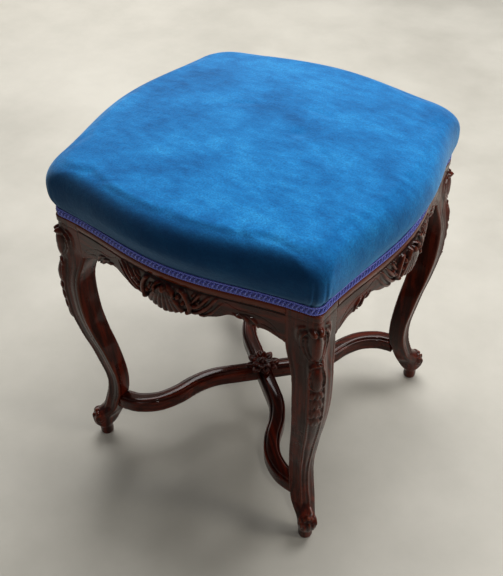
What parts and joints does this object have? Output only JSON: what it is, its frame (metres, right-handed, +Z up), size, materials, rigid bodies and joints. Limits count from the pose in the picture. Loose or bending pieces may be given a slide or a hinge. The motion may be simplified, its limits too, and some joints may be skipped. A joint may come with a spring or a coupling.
{
  "type": "upholstered piano stool",
  "caption": "Square stool with carved cabriole legs, serpentine carved rails, a curved X stretcher with a rosette, and a sprung velvet seat edged with gimp.",
  "frame": {"origin": "on the floor, under the middle of the seat", "axes": "+Z up, -Y to the front, +X to the right; the four sides are alike, and the stretcher is curved the same way at front and back"},
  "size_m": [0.501, 0.501, 0.5655],
  "materials": {
    "polished_walnut": "carved, dark stained and French polished",
    "raw_beech": "sawn, unfinished",
    "blue_velvet": "short dense pile velvet",
    "violet_gimp": "woven scroll gimp braid",
    "jute_webbing": "herringbone jute webbing",
    "hessian": "plain woven jute",
    "horsehair": "curled hair stuffing",
    "cotton_wadding": "felted cotton sheet",
    "black_cambric": "thin non-woven black cloth",
    "spring_steel": "drawn wire and bright screws",
    "blued_steel": "blued"
  },
  "bodies": {
    "root": {"leg_front_left": "polished_walnut", "leg_front_right": "polished_walnut", "leg_back_left": "polished_walnut", "leg_back_right": "polished_walnut", "rail_front": "polished_walnut", "rail_right": "polished_walnut", "rail_back": "polished_walnut", "rail_left": "polished_walnut", "stretcher_arm_front_left": "polished_walnut", "stretcher_arm_front_right": "polished_walnut", "stretcher_arm_back_left": "polished_walnut", "stretcher_arm_back_right": "polished_walnut", "stretcher_rosette": "polished_walnut", "stretcher_dowel": "raw_beech", "corner_block_front_left": "raw_beech", "corner_block_front_right": "raw_beech", "corner_block_back_left": "raw_beech", "corner_block_back_right": "raw_beech", "screw_front_left_side": "spring_steel", "screw_front_left_end": "spring_steel", "screw_front_right_side": "spring_steel", "screw_front_right_end": "spring_steel", "screw_back_left_side": "spring_steel", "screw_back_left_end": "spring_steel", "screw_back_right_side": "spring_steel", "screw_back_right_end": "spring_steel", "webbing_across_1": "jute_webbing", "webbing_across_2": "jute_webbing", "webbing_across_3": "jute_webbing", "webbing_lengthwise_1": "jute_webbing", "webbing_lengthwise_2": "jute_webbing", "webbing_lengthwise_3": "jute_webbing", "webbing_tack_1": "blued_steel", "webbing_tack_2": "blued_steel", "webbing_tack_3": "blued_steel", "webbing_tack_4": "blued_steel", "webbing_tack_5": "blued_steel", "webbing_tack_6": "blued_steel", "webbing_tack_7": "blued_steel", "webbing_tack_8": "blued_steel", "webbing_tack_9": "blued_steel", "webbing_tack_10": "blued_steel", "webbing_tack_11": "blued_steel", "webbing_tack_12": "blued_steel", "spring_centre": "spring_steel", "spring_front_left": "spring_steel", "spring_front_right": "spring_steel", "spring_back_left": "spring_steel", "spring_back_right": "spring_steel", "spring_hessian": "hessian", "stuffing_pad": "horsehair", "wadding": "cotton_wadding", "velvet_cover": "blue_velvet", "gimp_braid": "violet_gimp", "dust_cover": "black_cambric"}
  },
  "joints": []
}
